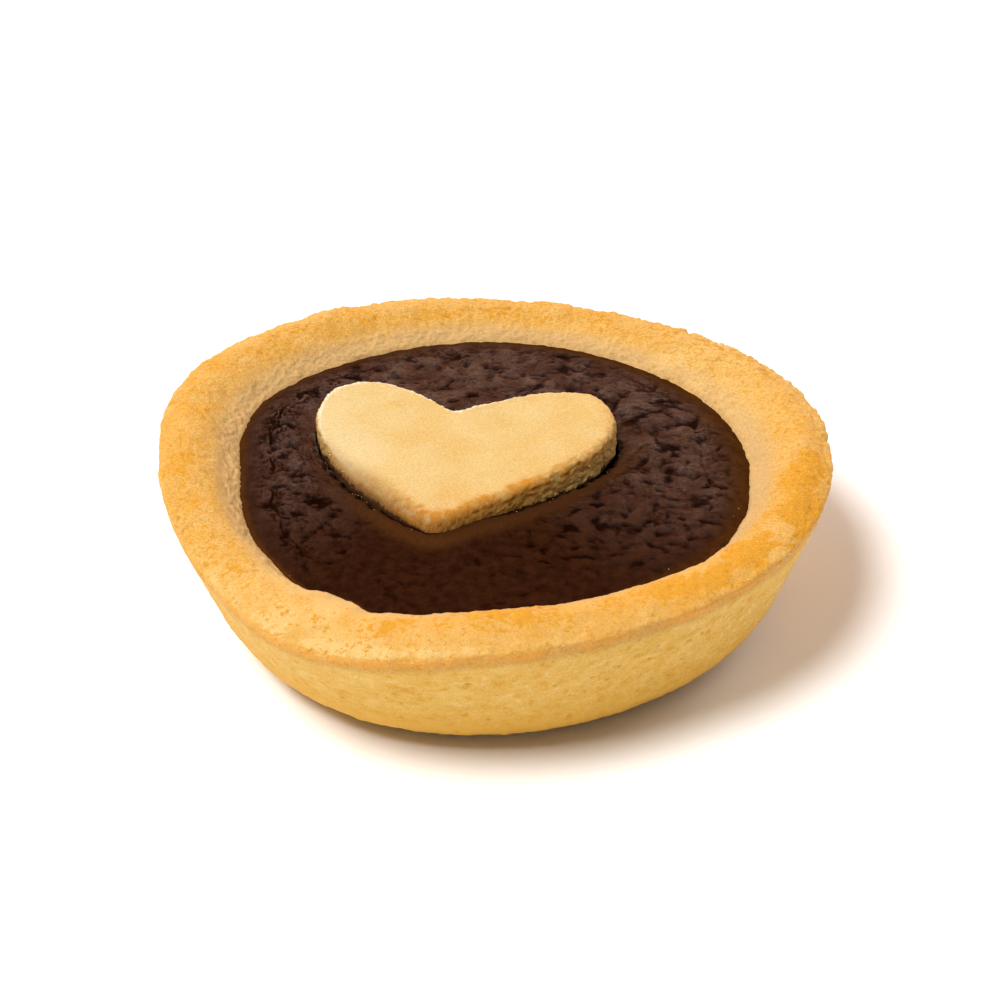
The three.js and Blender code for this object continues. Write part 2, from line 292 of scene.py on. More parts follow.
def turned(sections):
    """Stations of (r, z) in every direction as points (stations, directions, 3) about the Z axis."""
    turn = np.arange(sections.shape[1]) / sections.shape[1] * TURN
    r, z = sections[..., 0], sections[..., 1]
    return np.stack([r * np.cos(turn), r * np.sin(turn), z], axis=2)


def grid_normals(points):
    """Outward unit normals of a grid of points (stations, directions, 3) that closes on itself."""
    along = np.gradient(points, axis=0)
    round_it = np.roll(points, -1, axis=1) - np.roll(points, 1, axis=1)
    normal = np.cross(round_it, along)
    normal[0], normal[-1] = (0, 0, -1), normal[-2].mean(axis=0)
    return normal / np.maximum(np.linalg.norm(normal, axis=2, keepdims=True), 1e-9)


def strip_map(mesh, stations, directions, along, strips):
    """A map for baking: the way round cut into strips that lie one above another, each with every station
    from bottom to top. Along holds each station's place from 0 to 1."""
    ring = np.arange(directions)
    level = np.arange(1, stations - 2)
    columns = [np.stack([ring + 0.5, ring + 1, ring], 1).ravel()]
    rows = [np.tile([0, 1, 1], directions)]
    columns.append(np.tile(np.stack([ring, ring + 1, ring + 1, ring], 1).ravel(), len(level)))
    rows.append(np.repeat(np.stack([level, level, level + 1, level + 1], 1), directions, axis=0).ravel())
    columns.append(np.stack([ring, ring + 1, ring + 0.5], 1).ravel())
    rows.append(np.tile([stations - 2, stations - 2, stations - 1], directions))
    columns, rows = np.concatenate(columns), np.concatenate(rows)
    corners = np.repeat([3, 4, 3], [directions, directions * len(level), directions])
    strip = np.repeat(np.tile(ring, stations - 1) * strips // directions, corners)
    across = columns * strips / directions - strip
    upwards = (strip + MAP_MARGIN + (1 - 2 * MAP_MARGIN) * along[rows]) / strips
    layer = mesh.uv_layers.new(name=BAKE_MAP)
    layer.uv.foreach_set("vector", np.stack([across, upwards], 1).astype(np.float32).ravel())


def grid_mesh(name, points, attributes, strips):
    """A closed mesh of rings of points (stations, directions, 3) whose first and last ring are one point
    each, with a number from each attribute (stations, directions) at every vertex. Smooth shaded."""
    stations, directions = points.shape[:2]
    ring = np.arange(directions)
    after = np.roll(ring, -1)

    def flat(values):
        return np.concatenate([values[:1, 0], values[1:-1].reshape(-1, *values.shape[2:]), values[-1:, 0]])

    vertices = flat(points) * MM
    first = 1 + ring
    last = 1 + (stations - 3) * directions + ring
    bottom = np.stack([np.zeros_like(ring), first[after], first], 1)
    top = np.stack([last, last[after], np.full_like(ring, len(vertices) - 1)], 1)
    starts = 1 + np.arange(stations - 3)[:, None] * directions
    low, low_after = starts + ring, starts + after
    quads = np.stack([low, low_after, low_after + directions, low + directions], 2).reshape(-1, 4)
    loops = np.concatenate([bottom.ravel(), quads.ravel(), top.ravel()])
    sizes = np.repeat([3, 4, 3], [len(bottom), len(quads), len(top)])

    mesh = bpy.data.meshes.new(name)
    mesh.vertices.add(len(vertices))
    mesh.vertices.foreach_set("co", vertices.astype(np.float32).ravel())
    mesh.loops.add(len(loops))
    mesh.loops.foreach_set("vertex_index", loops.astype(np.int32))
    mesh.polygons.add(len(sizes))
    mesh.polygons.foreach_set("loop_start", (np.cumsum(sizes) - sizes).astype(np.int32))
    mesh.update(calc_edges=True)
    mesh.shade_smooth()
    for key, values in attributes.items():
        layer = mesh.attributes.new(key, "FLOAT", "POINT")
        layer.data.foreach_set("value", flat(values).astype(np.float32))
    steps = np.linalg.norm(np.diff(points, axis=0), axis=2).mean(axis=1)
    along = np.concatenate([[0], np.cumsum(steps)]) / steps.sum()
    strip_map(mesh, stations, directions, along, strips)
    return put_in_scene(name, mesh)


def put_in_scene(name, data):
    """An object in the scene with the given mesh, light or camera."""
    made = bpy.data.objects.new(name, data)
    bpy.context.scene.collection.objects.link(made)
    return made


def dress(piece, material, node):
    """Gives a piece its material and makes it stand for a CAD node."""
    piece.data.materials.append(material)
    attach(piece, "root")
    if node:
        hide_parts(node)


# ---- Materials -----------------------------------------------
class Shader:
    """Short ways to make and join the nodes of one material."""

    def __init__(self, name):
        self.material = bpy.data.materials.new(name)
        self.material.use_nodes = True
        self.tree = self.material.node_tree
        self.surface = self.tree.nodes["Principled BSDF"]
        self.place = self.node("ShaderNodeTexCoord").outputs["Object"]

    def node(self, kind, **settings):
        made = self.tree.nodes.new(kind)
        for key, value in settings.items():
            setattr(made, key, value)
        return made

    def link(self, source, target):
        if hasattr(source, "links"):
            self.tree.links.new(source, target)
        else:
            target.default_value = source

    def attribute(self, name):
        return self.node("ShaderNodeAttribute", attribute_name=name).outputs["Fac"]

    def noise(self, size_mm, detail=2.0, roughness=0.5, stretch=None):
        """Noise from 0 to 1 with features of about the given size."""
        made = self.node("ShaderNodeTexNoise")
        made.inputs["Scale"].default_value = 1 / (size_mm * MM)
        made.inputs["Detail"].default_value = detail
        made.inputs["Roughness"].default_value = roughness
        place = self.place
        if stretch:
            mapping = self.node("ShaderNodeMapping")
            mapping.inputs["Scale"].default_value = stretch
            self.link(self.place, mapping.inputs["Vector"])
            place = mapping.outputs["Vector"]
        self.link(place, made.inputs["Vector"])
        return made.outputs["Fac"]

    def math(self, operation, a, b=0.0, c=0.0):
        made = self.node("ShaderNodeMath", operation=operation)
        for value, socket in zip((a, b, c), made.inputs):
            self.link(value, socket)
        return made.outputs[0]

    def step(self, value, low, high, to_low=0.0, to_high=1.0):
        """The value eased from low..high to to_low..to_high, and held beyond them."""
        made = self.node("ShaderNodeMapRange", interpolation_type="SMOOTHSTEP")
        for source, target in zip((value, low, high, to_low, to_high), made.inputs):
            self.link(source, target)
        return made.outputs["Result"]

    def mix(self, share, a, b, blend="MIX"):
        made = self.node("ShaderNodeMix", data_type="RGBA", blend_type=blend)
        self.link(share, made.inputs["Factor"])
        for colour, target in ((a, made.inputs[MIX_A]), (b, made.inputs[MIX_B])):
            self.link(colour if hasattr(colour, "links") else (*colour, 1.0), target)
        return made.outputs[MIX_RESULT]

    def over(self, colour, *layers):
        """The colour with others laid over it: for each the attribute that says where, the most that it
        covers, the colour itself and, where they aren't 0 and 1, the attribute's limits."""
        for name, most, laid, *limits in layers:
            low, high = limits or (0.0, 1.0)
            colour = self.mix(self.step(self.attribute(name), low, high, 0.0, most), colour, laid)
        return colour

    def bump(self, height, distance_mm, strength=1.0, under=None):
        made = self.node("ShaderNodeBump")
        made.inputs["Strength"].default_value = strength
        made.inputs["Distance"].default_value = distance_mm * MM
        self.link(height, made.inputs["Height"])
        if under:
            self.link(under, made.inputs["Normal"])
        return made.outputs["Normal"]

    def finish(self, colour, roughness, normal, **fixed):
        for source, name in ((colour, "Base Color"), (roughness, "Roughness"), (normal, "Normal")):
            self.link(source, self.surface.inputs[name])
        for name, value in fixed.items():
            self.surface.inputs[name.replace("_", " ")].default_value = value
        return self.material


def crust_material():
    s = Shader("baked_shortcrust")
    crumb = s.noise(0.8, 4.0, 0.6)
    mottle = s.step(s.noise(4.0, 3.0, 0.55), 0.35, 0.65)
    golden = s.over(s.mix(mottle, *RIM_GOLD), ("pale", 1.0, (0.555, 0.348, 0.136)))
    wall = s.mix(mottle, *WALL_GOLD)
    patches = s.noise(1.6, 3.0, 0.6, stretch=(0.9, 0.9, 0.9))
    wall = s.mix(s.step(patches, 0.5, 0.72, 0.0, 0.95), wall, (0.68, 0.350, 0.034))
    wall = s.mix(s.step(patches, 0.5, 0.28, 0.0, 0.95), wall, (0.80, 0.535, 0.165))
    golden = s.over(
        s.mix(s.attribute("wall"), golden, wall),
        ("heel", 0.75, (0.69, 0.370, 0.040)),
        ("band", 0.7, (0.85, 0.365, 0.048)),
        ("light", 1.0, (0.68, 0.445, 0.155)),
    )
    crests = s.math("ADD", crumb, s.math("MULTIPLY", s.attribute("high"), 0.25))
    golden = s.mix(s.step(crests, 0.55, 0.85, 0.0, 0.6), golden, (0.66, 0.400, 0.130))
    golden = s.over(golden, ("toast", 0.55, (0.59, 0.262, 0.020)))
    # Toasted specks: more of them on the toasted belt, and fewer on the wall and the pale inner slope.
    speck = s.noise(0.8, 4.0, 0.65)
    for name, push in (("toast", 0.2), ("wall", -0.06), ("pale", -0.08)):
        speck = s.math("ADD", speck, s.math("MULTIPLY", s.attribute(name), push))
    colour = s.over(
        s.mix(s.step(speck, 0.57, 0.66, 0.0, 0.95), golden, (0.60, 0.278, 0.014)),
        ("pore", 0.85, (0.57, 0.240, 0.011), 0.1, 0.8),
        ("dent", 0.5, (0.52, 0.250, 0.022), 0.1, 0.8),
        ("stain", 0.28, (0.20, 0.090, 0.026)),
    )
    crisp = s.attribute("crisp")
    grain = s.math("MULTIPLY", s.math("SUBTRACT", s.noise(0.28, 2.0), 0.5), crisp)
    tint = s.mix(s.step(grain, -0.2, 0.2), (0.86, 0.78, 0.62), (1.08, 1.14, 1.28))
    colour = s.mix(1.0, colour, tint, "MULTIPLY")
    rough = s.bump(s.math("MULTIPLY", s.noise(0.35, 4.0, 0.65), crisp), 0.15, 0.9)
    normal = s.bump(crumb, 0.18, 0.8, rough)
    return s.finish(colour, s.step(crumb, 0.2, 0.8, 0.68, 0.84), normal, Specular_IOR_Level=0.25, **DOUGH)


def chocolate_material():
    s = Shader("baked_chocolate")
    mottle = s.noise(1.4, 4.0, 0.6)
    patches = s.step(mottle, 0.35, 0.7)
    gloss = s.attribute("gloss")
    colour = s.mix(s.step(gloss, 0.05, 0.7), s.mix(patches, *MATT_SKIN), s.mix(patches, *GLOSSY_SKIN))
    colour = s.over(
        colour,
        # Painted light on the tops of the lumps, and painted shade in the valleys and dimples.
        ("lump_light_and_shade", 0.75, (0.037, 0.0115, 0.0034)),
        ("lump_light_and_shade", 0.9, (0.0070, 0.0014, 0.0003), 0.0, -0.8),
    )
    margin = s.math("MULTIPLY", s.attribute("margin"), s.step(mottle, 0.3, 0.6, 0.5, 0.95))
    colour = s.over(
        s.mix(margin, colour, (0.064, 0.0215, 0.0040)),
        # Painted reflection of the biscuit's side on the skin next to the heart.
        ("ring", 0.9, (0.062, 0.0216, 0.0058)),
        # Painted shade in the cracks and holes and along the torn edge by the heart.
        ("painted_crack_shade", 0.95, (0.011, 0.0034, 0.0010)),
    )
    # Fine creases, in patches, where the skin is glossy, darkened with painted shade.
    wrinkles = s.noise(1.1, 3.0, 0.6, stretch=LUMP_STRETCH)
    creases = s.step(s.math("ABSOLUTE", s.math("SUBTRACT", wrinkles, 0.5)), 0.0, 0.03, 1.0, 0.0)
    creases = s.math("MULTIPLY", creases, s.step(s.noise(3.0, 3.0, 0.6), 0.45, 0.6))
    creases = s.math("MULTIPLY", creases, s.step(gloss, 0.1, 0.6))
    colour = s.mix(s.math("MULTIPLY", creases, 0.75), colour, (0.0070, 0.0016, 0.0004))
    height = s.math("SUBTRACT", s.noise(0.6, 4.0, 0.65), s.math("MULTIPLY", creases, 0.35))
    normal = s.bump(height, 0.26)
    sheen = s.step(s.noise(2.5, 3.0, 0.6), 0.3, 0.7, 0.4, 1.0)
    sheen = s.math("MULTIPLY", sheen, s.math("SUBTRACT", 1.0, s.math("MULTIPLY", creases, 0.8)))
    s.link(s.math("MULTIPLY", gloss, sheen), s.surface.inputs["Coat Weight"])
    s.link(normal, s.surface.inputs["Coat Normal"])
    return s.finish(
        colour, 0.6, normal, Specular_IOR_Level=0.0, Specular_Tint=(1.0, 0.42, 0.26, 1.0), Coat_Roughness=0.37
    )


def biscuit_material():
    s = Shader("pale_shortbread")
    crumb = s.noise(0.7, 4.0, 0.6)
    mottle = s.step(s.noise(6.0, 3.0, 0.5), 0.35, 0.65)
    top = s.over(s.mix(mottle, *BISCUIT_TOP), ("pale", 0.8, (0.65, 0.505, 0.265)))
    # The front right side is toasted, and painted lighter, as bounced light.
    side = s.mix(s.step(s.attribute("baked"), 0.0, 1.0), *BISCUIT_SIDE)
    colour = s.mix(s.step(s.attribute("side"), 0.0, 1.0), top, side)
    reach = s.math("SUBTRACT", s.math("ADD", s.attribute("toast"), 0.25), s.math("MULTIPLY", crumb, 0.5))
    colour = s.mix(s.step(reach, 0.0, 1.0, 0.0, 0.95), colour, (0.50, 0.210, 0.022))
    # Painted shade, darkening the side towards its foot.
    colour = s.mix(s.attribute("deep"), colour, (0.36, 0.278, 0.27), "MULTIPLY")
    colour = s.over(
        colour,
        ("scorch", 0.85, (0.46, 0.185, 0.012)),
        # Painted highlight along the heart's back and left top edge.
        ("painted_edge_highlight", 0.9, (0.74, 0.65, 0.48)),
        ("shaded", 0.9, (0.034, 0.0115, 0.0032), 0.1, 0.9),
    )
    tint = s.mix(s.step(s.noise(0.26, 2.0), 0.3, 0.7), (0.88, 0.88, 0.88), (1.09, 1.09, 1.09))
    colour = s.mix(1.0, colour, tint, "MULTIPLY")
    normal = s.bump(crumb, 0.08, 0.7, s.bump(s.noise(0.3, 4.0, 0.65), 0.11, 0.8))
    return s.finish(colour, s.step(crumb, 0.2, 0.8, 0.7, 0.85), normal, Specular_IOR_Level=0.08, **DOUGH)


def crumb_material():
    s = Shader("loose_crumb")
    colour = s.mix(s.step(s.noise(0.5, 3.0), 0.35, 0.65), *LOOSE_CRUMB)
    return s.finish(colour, 0.8, s.bump(s.noise(0.15, 3.0), 0.01), Specular_IOR_Level=0.05)


def floor_material():
    s = Shader("pale_floor")
    colour = s.mix(s.noise(30.0), *FLOOR_WHITE)
    return s.finish(colour, 0.9, s.bump(s.noise(0.8), 0.01), Specular_IOR_Level=0.1)


# ---- The crust -----------------------------------------------
def fold(share):
    """1 where the rim is pressed inwards and 0 away from there."""
    turn = np.asarray(share) % 1 * 360
    start = smoothstep(FOLD_START - FOLD_EASE, FOLD_START + FOLD_EASE, turn)
    return start * (1 - smoothstep(FOLD_END - FOLD_EASE, FOLD_END + FOLD_EASE, turn))


def filling_edge(share):
    """The distance from the axis at which the filling meets the case."""
    return around(RIM_RADIUS, share) - around(SIDE_WIDTH, share) - FOLD_REACH * fold(share)


def crust_sections(directions):
    share = np.arange(directions) / directions
    edge, height = around(RIM_RADIUS, share), around(RIM_HEIGHT, share)
    crown, foot = height + around(CROWN_RISE, share), around(FOOT_RADIUS, share)
    shoulder = edge - around(TOP_WIDTH, share) - FOLD_REACH * fold(share)
    return eased_sections(
        [
            corner(0, 0),
            corner(foot, 0, ease=8, bend=14, run=3),
            corner(edge - LIP_OVERHANG, height - LIP_BAND, ease=1.5, bend=5, run=50),
            corner(edge, height, ease=0.7, bend=7, run=6),
            corner(edge - CROWN_SHARE * around(TOP_WIDTH, share), crown, ease=2, bend=10, run=10),
            corner(shoulder, crown - SHOULDER_DROP, ease=2.5, bend=12, run=4),
            corner(filling_edge(share), FILLING_LEVEL, ease=0.5, bend=2, run=30),
            corner(foot - CAVITY_INSET, CAVITY_FLOOR, ease=6, bend=3, run=4),
            corner(0, CAVITY_FLOOR, run=2),
        ],
        directions,
    )


def make_crust():
    sections = crust_sections(CASE_DIRECTIONS)
    plain = turned(sections)
    normals = grid_normals(plain)
    radius, z = sections[..., 0], sections[..., 1]
    share = np.arange(CASE_DIRECTIONS) / CASE_DIRECTIONS
    edge = around(RIM_RADIUS, share)
    inwards = edge - radius  # distance in from the ridge
    below = around(RIM_HEIGHT, share) - z  # and down from it
    outwards = (normals[..., :2] * plain[..., :2]).sum(axis=2) / np.maximum(radius, 1)
    outside = smoothstep(-0.1, 0.3, outwards)
    top = smoothstep(0.35, 0.8, normals[..., 2])
    ridge = bell(np.hypot(inwards, below), 0, 1.3)
    wall = outside * smoothstep(1.5, 3.0, below)
    low_wall = wall * smoothstep(2.5, 6, below)
    hidden = (z < FILLING_LEVEL - 0.3) & (outside < 0.5)
    slope_width = np.maximum(edge - filling_edge(share) - 3, 1)
    inner = smoothstep(0.35, 0.85, (inwards - 3) / slope_width) * (1 - hidden)

    # Round the wall and up it, for relief that runs round the case.
    turn = np.broadcast_to(share * TURN, z.shape)
    strips = np.stack([np.cos(turn) * WALL_RADIUS, np.sin(turn) * WALL_RADIUS, z], axis=-1)
    left = smoothstep(0.27, 0.34, share) * (1 - smoothstep(0.5, 0.58, share))

    lumps = fractal(plain, 7, 3, salt=1)
    bumps = fractal(plain, 2.2, 3, salt=11, gain=0.6)
    grain = fractal(plain, 0.9, 2, salt=21, gain=0.7)
    crags = creased(plain, 3.0, 4, salt=26, gain=0.6) * smoothstep(-0.4, 0.3, noise(plain, 8, salt=27))
    dents = pits(strips * (0.75, 0.75, 1.1), 1.2, 0.36, salt=41, share=0.35)
    waves = noise(strips * (0.3, 0.3, 1.6), 1.2, salt=51)
    creases = creased(strips * (1, 1, 0.1), 1.5, 2, salt=61)
    patches = fractal(plain, 5.5, 3, salt=71)

    # The toasted belt with its holes, and the open crumb and the crevice at the back right.
    belt = bell(inwards, around(TOAST_INSET, share), TOAST_WIDTH) * top
    toast = np.clip(around(TOAST, share) * belt * (0.5 + 1.7 * patches), 0, 1)
    holes = pits(plain, 1.4, 0.5, salt=31, share=0.7) * np.clip(0.1 + 1.4 * toast, 0, 1)
    open_crumb = pits(plain, 0.9, 0.34, salt=33, share=0.6) * inner * bell(share, 0.12, 0.08)
    wander = fractal(plain, 4, 3, salt=34)
    crevice = bell(inwards, 2.2 + 1.8 * wander, 0.45) * smoothstep(0, 0.25, noise(plain, 3, salt=35)) * top
    crevice *= smoothstep(0.04, 0.10, share) * (1 - smoothstep(0.19, 0.25, share))

    # Paler dough: along the ridge at the front left, and in patches there and at the back right.
    pale_ridge = bell(inwards, 1.0, 0.8) * bell(share, 0.69, 0.08) * smoothstep(-0.3, 0.3, bumps) * top
    light = bell(share, 0.65, 0.06) * (0.6 + patches) * top + 1.1 * pale_ridge
    light += bell(share, 0.12, 0.07) * (0.35 + patches) * top

    # How rough each part is. The fine crumb is softer at the front.
    crisp = 1 - 0.55 * smoothstep(-12, -35, plain[..., 1])
    craggy = around(RIDGE_CRAGS, share) * ridge
    rough_inner = inner * (0.3 + 0.7 * bell(share, 0.10, 0.15))
    relief = CASE_LUMPS * lumps * (0.4 + 0.6 * (1 - wall))
    relief += bumps * (0.15 * top + 0.10 * rough_inner + 0.11 * wall + 0.16 * craggy)
    relief += grain * crisp * (0.19 * top + 0.11 * rough_inner + 0.08 * wall + 0.10 * craggy)
    relief += RIDGE_CRAG * craggy * crags
    relief -= HOLE_DEPTH * holes * top
    relief -= OPEN_CRUMB_DEPTH * open_crumb + CREVICE_DEPTH * crevice
    relief -= low_wall * (WALL_DENT * dents - WALL_WAVE * waves)
    relief += INNER_CREASE * inner * (1 - 0.6 * top) * creases * (0.25 + 0.75 * left)
    relief *= smoothstep(0.0, 2.5, z) * (1 - hidden)
    points = plain + normals * relief[..., None]

    attributes = {
        "toast": toast,
        "pore": np.minimum(holes * top + 0.7 * open_crumb + 0.8 * crevice, 1),
        "dent": dents * low_wall,
        "high": np.clip(bumps * top + ridge * crags, -1, 1),
        "pale": inner,
        "light": np.clip(light, 0, 1),
        "wall": wall,
        "heel": (1 - smoothstep(2, 15, z)) * outside,
        "band": bell(below, 0.9, 0.8) * outside * (inwards < 2) * (0.6 + 0.8 * patches),
        "crisp": crisp * (1 - 0.5 * inner),
        "stain": bell(z, FILLING_LEVEL + 0.1, 0.3) * (inwards > 5) * (0.6 + 0.8 * patches),
    }
    return grid_mesh("baked_crust", points, attributes, 3), points


# ---- The filling ---------------------------------------------
def heart_outline(count):
    """Points round the heart seen from above, about HEART_PLACE."""
    share = np.arange(count) / count
    return np.stack([around(HEART_X, share), around(HEART_Y, share)], 1)


def polar_reach(outline, bearings):
    """The distance of a star-shaped outline from its centre at the given bearings."""
    turn = np.arctan2(outline[:, 1], outline[:, 0]) % TURN
    order = np.argsort(turn)
    return np.interp(bearings, turn[order], np.hypot(*outline.T)[order], period=TURN)


def case_reach(bearings):
    """The distance from HEART_PLACE to where the filling meets the case, at the given bearings."""
    count = 2000
    share = np.arange(count) / count
    edge = filling_edge(share)
    ring = np.stack([edge * np.cos(share * TURN), edge * np.sin(share * TURN)], 1) - HEART_PLACE
    return polar_reach(ring, bearings)


def heart_top(x, y):
    """Height of the heart's top face at a place about HEART_PLACE."""
    return HEART_TOP + HEART_TILT_X * x + HEART_TILT_Y * y


def skin_relief(q, from_case, from_heart):
    """The chocolate's wrinkles and lumps at each place: the height, how far into a crack the place is, where
    it lies between the bottom of a valley and the top of a lump, from -1 to 1, and how far into a dimple."""
    x, y = q[..., 0], q[..., 1]
    zero = np.zeros_like(x)
    right = smoothstep(-4, 16, x)
    left = 1 - smoothstep(-25, -15, x)
    front = smoothstep(-15, -25, y)
    behind = smoothstep(13, 22, y)

    def sideways(along_x, along_y):
        return np.stack([along_x, along_y, zero], axis=-1)

    warp = sideways(noise(q, 5, salt=101), noise(q, 5, salt=102))
    near = sideways(noise(q, 1.5, salt=103), noise(q, 1.5, salt=104))
    bent = q + warp + 0.25 * near
    # Round the tart and outwards, for lumps that are longer one way than the other.
    radius = np.hypot(bent[..., 0], bent[..., 1])
    polar = sideways(np.arctan2(y, x + 4) * 26 + bent[..., 0] - x, radius)
    # The lumps lean forwards: where they are high, they are taken from further back.
    lean = 0.4 * fractal(bent * LUMP_STRETCH, LUMP_SIZE, 2, salt=111, gain=0.4)
    leaning = bent + sideways(zero, lean)
    big = 0.8 * fractal(leaning * LUMP_STRETCH, LUMP_SIZE, 3, salt=111, gain=0.55)
    big += 0.2 * domes(leaning, 3.4, salt=115)
    small = fractal(bent, 1.3, 2, salt=113)
    streaks = fractal(polar * (1.1, 0.5, 1), 1.9, 2, salt=116)
    swells = noise(q + 1.5 * warp, 5.5, salt=131)
    fine = fractal(q, 0.8, 3, salt=121, gain=0.6)
    patches = 0.5 + 0.5 * smoothstep(-0.3, 0.3, noise(q, 7, salt=118))

    # Strongest at the right and behind the heart, and smoother at the front, by the heart and by the case.
    inside = smoothstep(1.0, 3.6, from_case) * smoothstep(0.8, 3.2, from_heart)
    strength = 0.26 + 0.52 * right * (1 - 0.5 * front) + 0.20 * behind * (1 - right)
    small_strength = (0.15 + 0.03 * right) * (1 - 0.2 * front)
    relief = inside * patches * (strength * (1 - 0.15 * front) * big + small_strength * small)
    relief += inside * left * (0.26 * streaks + 0.14 * small + 0.08 * fine)
    # From a valley's bottom to a lump's top, for painted light on the tops and painted shade in the valleys.
    crests = np.clip((relief + 0.06 * fine) / 0.20, -1, 1)
    relief += inside * (0.15 + 0.12 * right) * swells + (0.05 + 0.12 * inside) * (1 - 0.15 * front) * fine

    # Cracks, most of them in a ring a little in from the case, and small holes among the lumps.
    belt = bell(from_case, CRACK_INSET + 0.6 * noise(q, 5, salt=141), 1.3)
    torn = smoothstep(-0.3, 0.1, noise(q, 4, salt=142)) * (0.2 + 0.8 * left)
    ring = 1 - smoothstep(0.05, 0.20, np.abs(from_case - CRACK_INSET - 0.8 * noise(q, 3, salt=143)))
    branches = 1 - smoothstep(0.02, 0.10, np.abs(noise(bent, 1.3, salt=145)))
    cracks = np.clip(torn * belt * np.maximum(ring, branches), 0, 1)
    cracks = np.maximum(cracks, pits(q, 1.5, 0.34, salt=144, share=0.5) * belt * (0.2 + 0.8 * left))
    lively = smoothstep(-0.2, 0.3, noise(q, 5, salt=146)) * inside * (1 - 0.8 * front)
    holes = pits(bent * LUMP_STRETCH, 1.25, 0.36, salt=147, share=0.45) * lively
    cracks = np.maximum(cracks, 0.6 * holes)
    dents = zero
    for at_x, at_y, wide, deep in DIMPLES:
        dent = bell(np.hypot((x - at_x) / 1.4, y - at_y) / wide + 0.3 * fine, 0, 1.0)
        relief -= deep * dent
        # A dimple is also painted darker, as shade.
        crests -= 1.3 * dent
        dents = dents + dent
    return relief - CRACK_DEPTH * cracks, cracks, np.clip(crests, -1, 1), dents


def make_filling():
    directions, rings = SKIN_DIRECTIONS, SKIN_RINGS
    share = np.arange(directions) / directions
    bearings = share * TURN
    ray = np.stack([np.cos(bearings), np.sin(bearings)], 1)
    gap = around(HEART_GAP, share)
    by_heart = raised(ray * 15)
    inner = polar_reach(heart_outline(2 * HEART_DIRECTIONS), bearings)
    inner = inner + gap * (1 + 0.8 * noise(by_heart, 0.8, salt=151))
    inner += 0.10 * noise(by_heart, 1.6, salt=152)
    outer = case_reach(bearings) + CASE_OVERLAP
    reach = inner + (outer - inner) * np.linspace(0, 1, rings)[:, None]
    from_case = (outer - reach) * 0.97
    from_heart = (reach - inner) * 0.93
    p = raised(ray * reach[..., None] + HEART_PLACE)
    relief, cracks, crests, dents = skin_relief(p, from_case, from_heart)

    shoulder = SHOULDER_RISE * (1 - (1 - np.clip(from_case / SHOULDER_WIDTH, 0, 1)) ** 2.6)
    middle = MIDDLE_RISE * smoothstep(SHOULDER_WIDTH, 25, from_case)
    moat = around(MOAT_DEPTH, share) * (1 - smoothstep(0, MOAT_WIDTH, from_heart))
    # Where there is a gap the skin's edge is torn down, and where there is none it climbs up the heart.
    lip = smoothstep(0.05, 0.4, gap)
    torn_edge = TORN_DEPTH * lip * (1 - smoothstep(0, 0.9, from_heart)) * (0.5 + noise(p, 0.9, salt=153))
    climb = CLIMB * (1 - lip) * (1 - smoothstep(0, 0.8, from_heart))
    ragged = RAGGED_RISE * (1 - smoothstep(0.2, 1.5, from_case)) * fractal(p, 2.2, 3, salt=155)
    p[..., 2] = FILLING_LEVEL + shoulder + middle - moat + relief - torn_edge + climb + ragged

    # Outside the skin the filling goes down along the case, and inside the heart's outline it turns down
    # into the hollow that the heart sits in. Rings go from the bottom's middle to the hollow's middle.
    wall = ray * (outer - 1)[:, None] + HEART_PLACE
    below_skin = [
        np.broadcast_to([*HEART_PLACE, CAVITY_FLOOR + HIDDEN_GAP], (directions, 3)),
        raised(wall * 0.75, CAVITY_FLOOR + HIDDEN_GAP),
        raised(wall, FILLING_LEVEL - 3),
        p[-1] + raised(ray * 0.15, -0.25),
    ]
    under_heart = heart_top(*(ray * inner[:, None]).T) - HEART_THICKNESS - HIDDEN_GAP
    hollow = [
        raised(ray * (inner - 0.05)[:, None] + HEART_PLACE, under_heart),
        np.broadcast_to([*HEART_PLACE, HEART_TOP - HEART_THICKNESS - HIDDEN_GAP], (directions, 3)),
    ]
    points = np.concatenate([below_skin, p[::-1], hollow])

    def whole(values, fill=0.0):
        """The skin's values for every ring, with a fill for the rings below it and in the hollow."""
        return np.pad(values[::-1], ((len(below_skin), len(hollow)), (0, 0)), constant_values=fill)

    margin = 1 - smoothstep(0.4, around(MARGIN_WIDTH, share), from_case)
    # The biscuit's side, painted on the skin next to it as a reflection.
    painted_reflection = around(PAINTED_HEART_REFLECTION, share) * bell(from_heart, 1.4, 2.1)
    upright = grid_normals(points)[len(below_skin) : -len(hollow)][::-1, :, 2]
    # Glossy, but less so where the biscuit's reflection is painted, by the case, in cracks, dimples and
    # valleys, and on slopes.
    gloss = around(SKIN_GLOSS, share) * (1 - margin) * (1 - 0.85 * np.minimum(painted_reflection, 1))
    gloss *= 0.25 + 0.75 * smoothstep(0.5, 5.5, from_case)
    gloss *= (1 - smoothstep(0, 0.3, cracks)) * (1 - np.minimum(dents, 1))
    gloss *= 0.15 + 0.85 * smoothstep(-0.9, 0.2, crests)
    gloss *= 0.12 + 0.88 * smoothstep(0.74, 0.92, upright)
    attributes = {
        "margin": whole(margin),
        # Painted reflection of the biscuit's side, next to the heart.
        "ring": whole(painted_reflection),
        # Painted shade in the cracks and holes and along the torn edge by the heart.
        "painted_crack_shade": whole(np.maximum(cracks, 1 - smoothstep(0.15, 0.16 + 0.5 * lip, from_heart)), 1.0),
        # Painted light on lump tops, painted shade in valleys and dimples.
        "lump_light_and_shade": whole(crests),
        "gloss": whole(gloss),
    }
    return grid_mesh("chocolate_filling", points, attributes, 3), p


